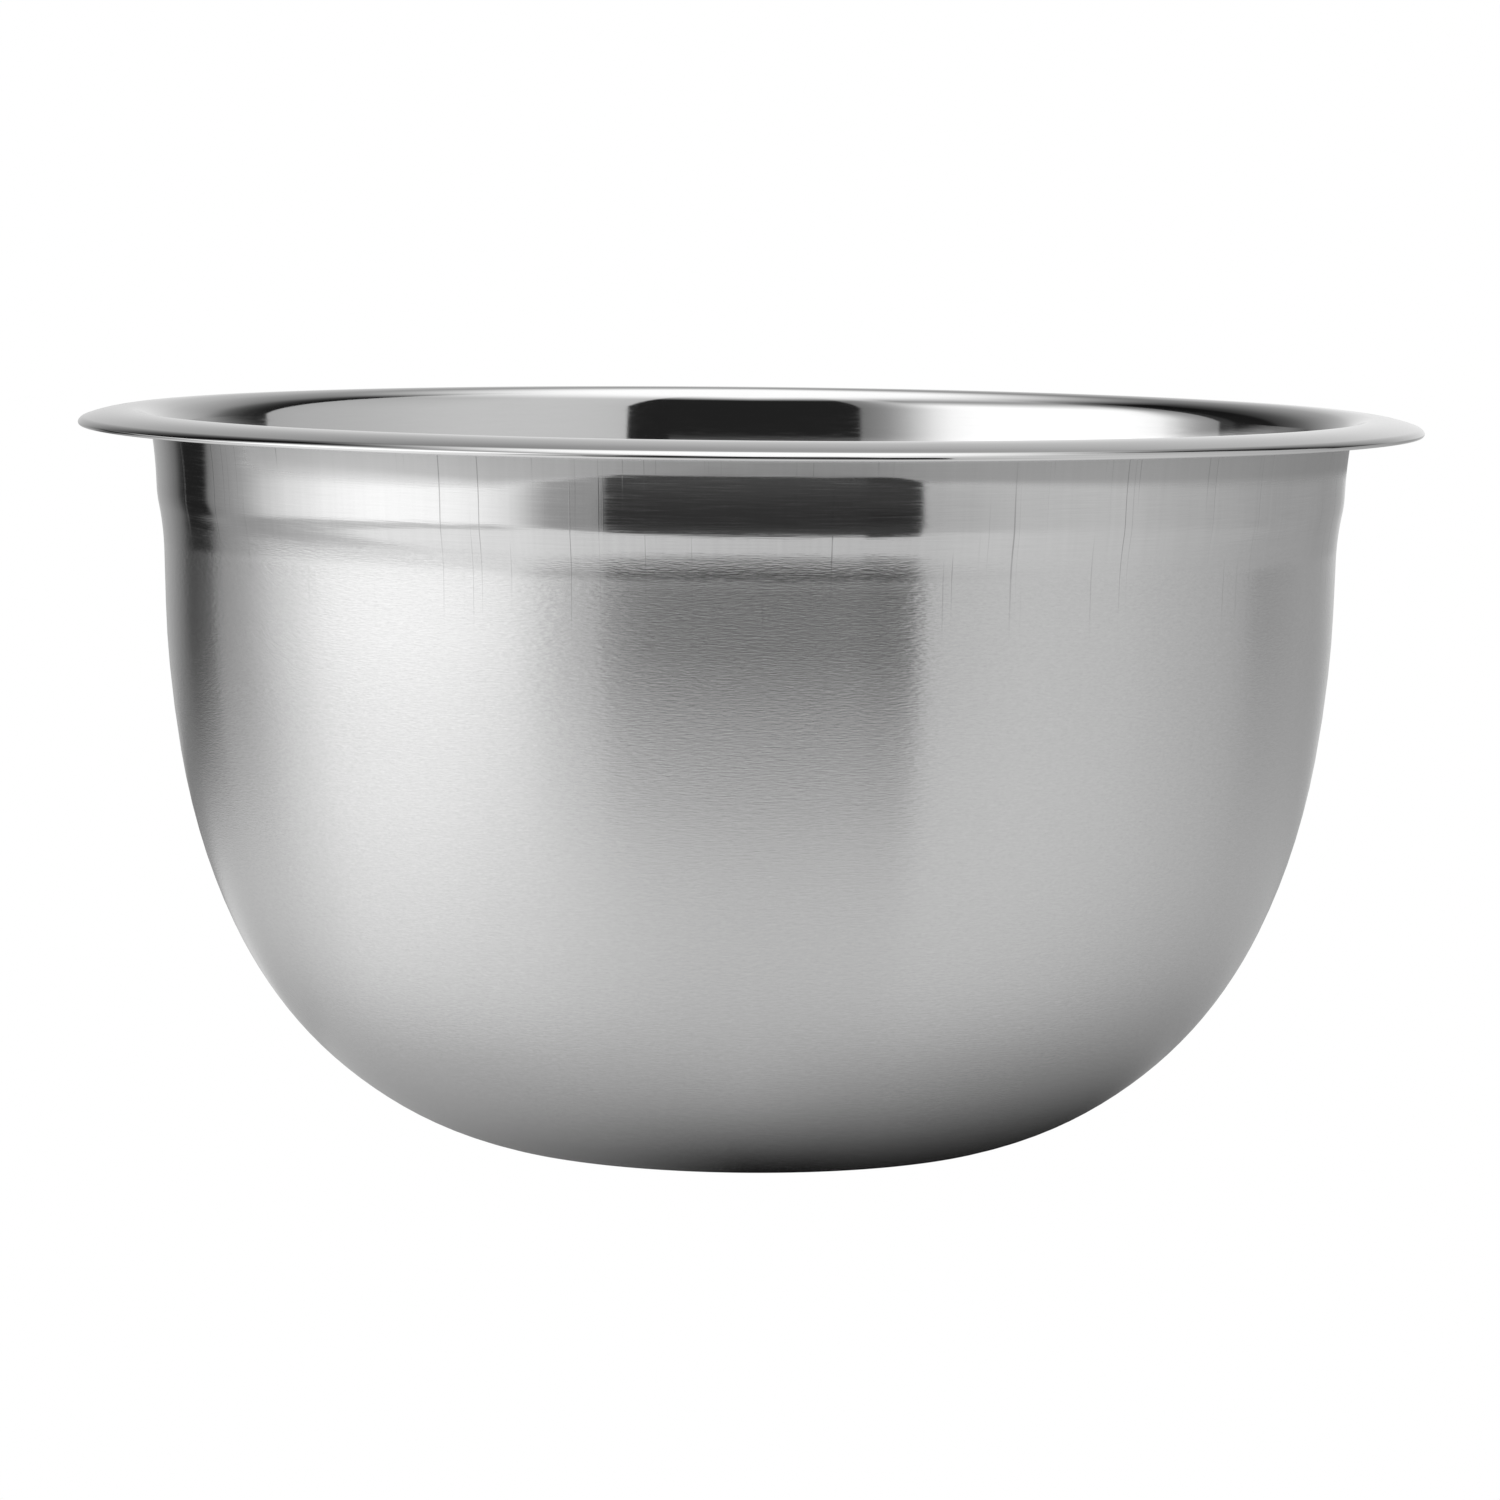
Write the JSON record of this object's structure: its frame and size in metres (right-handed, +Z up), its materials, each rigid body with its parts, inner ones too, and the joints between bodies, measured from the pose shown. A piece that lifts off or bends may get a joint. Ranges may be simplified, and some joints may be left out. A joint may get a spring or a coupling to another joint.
{
  "type": "mixing bowl",
  "caption": "Round deep-drawn metal mixing bowl: flat base, curved belly, upright wall with a soft step, and a flared rim whose edge is hemmed under.",
  "frame": {"origin": "centre of the underside of the flat base, on the bench", "axes": "+Z up along the axis of revolution; +X and +Y are equivalent, because the bowl is round"},
  "size_m": [0.272, 0.272, 0.1476],
  "materials": {
    "stainless_sheet": "mirror-polished inside, on the rim and on the band below it; fine circumferential brushing on the outside of the wall and belly"
  },
  "bodies": {
    "root": {"bowl_shell": "stainless_sheet"}
  },
  "joints": []
}
